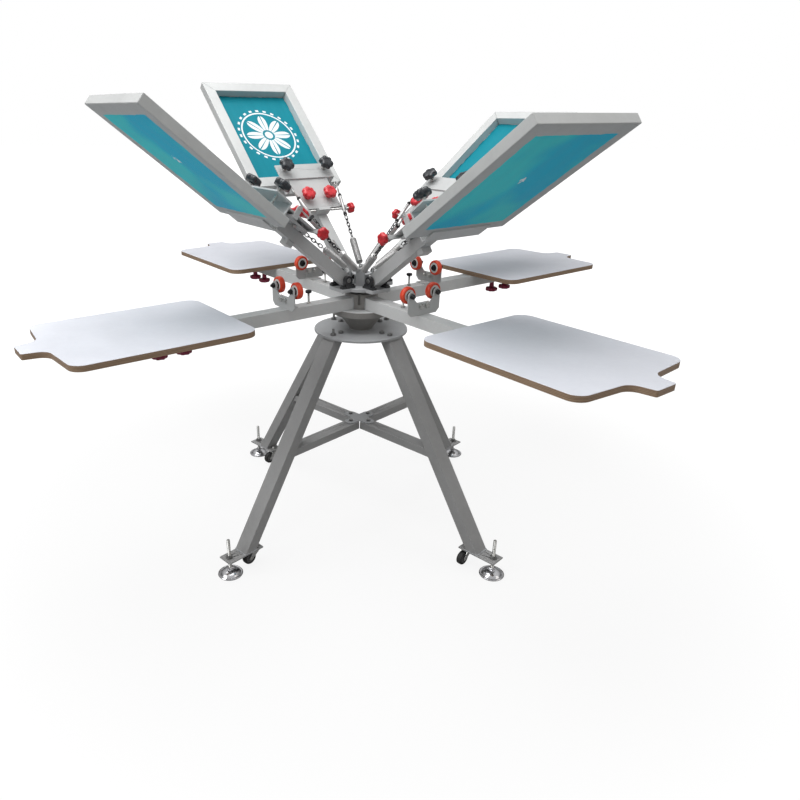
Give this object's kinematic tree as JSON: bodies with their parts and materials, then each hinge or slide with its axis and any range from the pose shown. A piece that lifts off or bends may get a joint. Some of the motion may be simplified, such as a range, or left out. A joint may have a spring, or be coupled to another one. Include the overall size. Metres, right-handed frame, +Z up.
{
  "type": "screen printing press",
  "caption": "Floor-standing hand-turned garment screen printing press: stacked print and platen carousels on one spindle, sprung hinged print heads above flat garment boards.",
  "frame": {"origin": "centre of the stand on the floor, under the spindle", "axes": "+Z up along the spindle; the spread of the platens is the same along X and Y; +Y away from the viewer, +X to the viewer's right"},
  "size_m": [1.9526, 1.9526, 1.6011],
  "materials": {
    "grey_paint": "satin light grey paint",
    "zinc_steel": "zinc plated fasteners",
    "bare_steel": "turned steel",
    "bearing_steel": "bright drawn steel",
    "foot_chrome": "bright plated",
    "caster_rubber": "dark soft tread",
    "platen_face": "pale laminate over brown board",
    "wheel_red": "orange red soft tyre",
    "black_casting": "black enamel",
    "frame_aluminium": "mill finish",
    "mesh_teal": "teal emulsion on woven mesh",
    "knob_black": "black and red moulded knobs"
  },
  "bodies": {
    "base": {"stand_plate": "grey_paint", "leg_1": "grey_paint", "leg_2": "grey_paint", "leg_3": "grey_paint", "leg_4": "grey_paint", "brace_bars": "grey_paint", "brace_plate": "grey_paint", "stand_hardware": "zinc_steel", "spindle": "bare_steel", "hub_bearings": "bearing_steel"},
    "levelling_foot_1": {"levelling_foot_1": "foot_chrome"},
    "levelling_foot_2": {"levelling_foot_2": "foot_chrome"},
    "levelling_foot_3": {"levelling_foot_3": "foot_chrome"},
    "levelling_foot_4": {"levelling_foot_4": "foot_chrome"},
    "caster_fork_1": {"caster_fork_1": "zinc_steel"},
    "caster_wheel_1": {"caster_wheel_1": "caster_rubber"},
    "caster_fork_2": {"caster_fork_2": "zinc_steel"},
    "caster_wheel_2": {"caster_wheel_2": "caster_rubber"},
    "caster_fork_3": {"caster_fork_3": "zinc_steel"},
    "caster_wheel_3": {"caster_wheel_3": "caster_rubber"},
    "caster_fork_4": {"caster_fork_4": "zinc_steel"},
    "caster_wheel_4": {"caster_wheel_4": "caster_rubber"},
    "platen_carousel": {"platen_spider": "grey_paint", "platen_1": "platen_face", "platen_2": "platen_face", "platen_3": "platen_face", "platen_4": "platen_face", "guide_brackets": "grey_paint", "carousel_hardware": "zinc_steel"},
    "guide_wheel_1": {"guide_wheel_1": "wheel_red"},
    "guide_wheel_2": {"guide_wheel_2": "wheel_red"},
    "guide_wheel_3": {"guide_wheel_3": "wheel_red"},
    "guide_wheel_4": {"guide_wheel_4": "wheel_red"},
    "guide_wheel_5": {"guide_wheel_5": "wheel_red"},
    "guide_wheel_6": {"guide_wheel_6": "wheel_red"},
    "guide_wheel_7": {"guide_wheel_7": "wheel_red"},
    "guide_wheel_8": {"guide_wheel_8": "wheel_red"},
    "print_carousel": {"print_disc": "grey_paint", "pillow_blocks": "black_casting", "head_springs": "bearing_steel"},
    "head_1": {"print_arm_1": "grey_paint"},
    "carriage_1": {"head_carriage_1": "grey_paint", "screen_frame_1": "frame_aluminium", "screen_mesh_1": "mesh_teal", "head_knobs_1": "knob_black"},
    "head_2": {"print_arm_2": "grey_paint"},
    "carriage_2": {"head_carriage_2": "grey_paint", "screen_frame_2": "frame_aluminium", "screen_mesh_2": "mesh_teal", "head_knobs_2": "knob_black"},
    "head_3": {"print_arm_3": "grey_paint"},
    "carriage_3": {"head_carriage_3": "grey_paint", "screen_frame_3": "frame_aluminium", "screen_mesh_3": "mesh_teal", "head_knobs_3": "knob_black"},
    "head_4": {"print_arm_4": "grey_paint"},
    "carriage_4": {"head_carriage_4": "grey_paint", "screen_frame_4": "frame_aluminium", "screen_mesh_4": "mesh_teal", "head_knobs_4": "knob_black"}
  },
  "joints": [
    {"name": "foot_1_height", "type": "slide", "parent": "base", "child": "levelling_foot_1", "axis": [0, 0, 1], "range_m": [-0.02, 0.03]},
    {"name": "foot_2_height", "type": "slide", "parent": "base", "child": "levelling_foot_2", "axis": [0, 0, 1], "range_m": [-0.02, 0.03]},
    {"name": "foot_3_height", "type": "slide", "parent": "base", "child": "levelling_foot_3", "axis": [0, 0, 1], "range_m": [-0.02, 0.03]},
    {"name": "foot_4_height", "type": "slide", "parent": "base", "child": "levelling_foot_4", "axis": [0, 0, 1], "range_m": [-0.02, 0.03]},
    {"name": "caster_1_swivel", "type": "hinge", "parent": "base", "child": "caster_fork_1", "pos_m": [-0.36609, -0.40374, 0.062], "axis": [0, 0, 1], "continuous": true},
    {"name": "caster_1_roll", "type": "hinge", "parent": "caster_fork_1", "child": "caster_wheel_1", "pos_m": [-0.38349, -0.42306, 0.028], "axis": [0.7431, -0.6691, 0], "continuous": true},
    {"name": "caster_2_swivel", "type": "hinge", "parent": "base", "child": "caster_fork_2", "pos_m": [-0.40374, 0.36609, 0.062], "axis": [0, 0, 1], "continuous": true},
    {"name": "caster_2_roll", "type": "hinge", "parent": "caster_fork_2", "child": "caster_wheel_2", "pos_m": [-0.42114, 0.34677, 0.028], "axis": [0.7431, -0.6691, 0], "continuous": true},
    {"name": "caster_3_swivel", "type": "hinge", "parent": "base", "child": "caster_fork_3", "pos_m": [0.36609, 0.40374, 0.062], "axis": [0, 0, 1], "continuous": true},
    {"name": "caster_3_roll", "type": "hinge", "parent": "caster_fork_3", "child": "caster_wheel_3", "pos_m": [0.34869, 0.38442, 0.028], "axis": [0.7431, -0.6691, 0], "continuous": true},
    {"name": "caster_4_swivel", "type": "hinge", "parent": "base", "child": "caster_fork_4", "pos_m": [0.40374, -0.36609, 0.062], "axis": [0, 0, 1], "continuous": true},
    {"name": "caster_4_roll", "type": "hinge", "parent": "caster_fork_4", "child": "caster_wheel_4", "pos_m": [0.38634, -0.38541, 0.028], "axis": [0.7431, -0.6691, 0], "continuous": true},
    {"name": "platen_carousel_turn", "type": "hinge", "parent": "base", "child": "platen_carousel", "pos_m": [0, 0, 0.87], "axis": [0, 0, 1], "continuous": true},
    {"name": "guide_wheel_1_spin", "type": "hinge", "parent": "platen_carousel", "child": "guide_wheel_1", "pos_m": [-0.27708, -0.1536, 0.96], "axis": [-0.7771, -0.6293, 0], "continuous": true},
    {"name": "guide_wheel_2_spin", "type": "hinge", "parent": "platen_carousel", "child": "guide_wheel_2", "pos_m": [-0.20786, -0.23909, 0.96], "axis": [-0.7771, -0.6293, 0], "continuous": true},
    {"name": "guide_wheel_3_spin", "type": "hinge", "parent": "platen_carousel", "child": "guide_wheel_3", "pos_m": [-0.1536, 0.27708, 0.96], "axis": [-0.6293, 0.7771, 0], "continuous": true},
    {"name": "guide_wheel_4_spin", "type": "hinge", "parent": "platen_carousel", "child": "guide_wheel_4", "pos_m": [-0.23909, 0.20786, 0.96], "axis": [-0.6293, 0.7771, 0], "continuous": true},
    {"name": "guide_wheel_5_spin", "type": "hinge", "parent": "platen_carousel", "child": "guide_wheel_5", "pos_m": [0.27708, 0.1536, 0.96], "axis": [0.7771, 0.6293, 0], "continuous": true},
    {"name": "guide_wheel_6_spin", "type": "hinge", "parent": "platen_carousel", "child": "guide_wheel_6", "pos_m": [0.20786, 0.23909, 0.96], "axis": [0.7771, 0.6293, 0], "continuous": true},
    {"name": "guide_wheel_7_spin", "type": "hinge", "parent": "platen_carousel", "child": "guide_wheel_7", "pos_m": [0.1536, -0.27708, 0.96], "axis": [0.6293, -0.7771, 0], "continuous": true},
    {"name": "guide_wheel_8_spin", "type": "hinge", "parent": "platen_carousel", "child": "guide_wheel_8", "pos_m": [0.23909, -0.20786, 0.96], "axis": [0.6293, -0.7771, 0], "continuous": true},
    {"name": "print_carousel_turn", "type": "hinge", "parent": "base", "child": "print_carousel", "pos_m": [0, 0, 0.93], "axis": [0, 0, 1], "continuous": true},
    {"name": "head_1_tilt", "type": "hinge", "parent": "print_carousel", "child": "head_1", "pos_m": [-0.06606, -0.05349, 0.96], "axis": [-0.6293, 0.7771, 0], "range_deg": [-39.2, 0], "stiffness_Nm_per_rad": 18, "springref_deg": 137.51, "deforming": ["head_springs"]},
    {"name": "carriage_1_registration", "type": "slide", "parent": "head_1", "child": "carriage_1", "axis": [0.6293, -0.7771, 0], "range_m": [-0.008, 0.008]},
    {"name": "head_2_tilt", "type": "hinge", "parent": "print_carousel", "child": "head_2", "pos_m": [-0.05349, 0.06606, 0.96], "axis": [0.7771, 0.6293, 0], "range_deg": [-44.3, 0], "stiffness_Nm_per_rad": 18, "springref_deg": 137.51},
    {"name": "carriage_2_registration", "type": "slide", "parent": "head_2", "child": "carriage_2", "axis": [-0.7771, -0.6293, 0], "range_m": [-0.008, 0.008]},
    {"name": "head_3_tilt", "type": "hinge", "parent": "print_carousel", "child": "head_3", "pos_m": [0.06606, 0.05349, 0.96], "axis": [0.6293, -0.7771, 0], "range_deg": [-36.3, 0], "stiffness_Nm_per_rad": 18, "springref_deg": 137.51},
    {"name": "carriage_3_registration", "type": "slide", "parent": "head_3", "child": "carriage_3", "axis": [-0.6293, 0.7771, 0], "range_m": [-0.008, 0.008]},
    {"name": "head_4_tilt", "type": "hinge", "parent": "print_carousel", "child": "head_4", "pos_m": [0.05349, -0.06606, 0.96], "axis": [-0.7771, -0.6293, 0], "range_deg": [-36.1, 0], "stiffness_Nm_per_rad": 18, "springref_deg": 137.51},
    {"name": "carriage_4_registration", "type": "slide", "parent": "head_4", "child": "carriage_4", "axis": [0.7771, 0.6293, 0], "range_m": [-0.008, 0.008]}
  ]
}
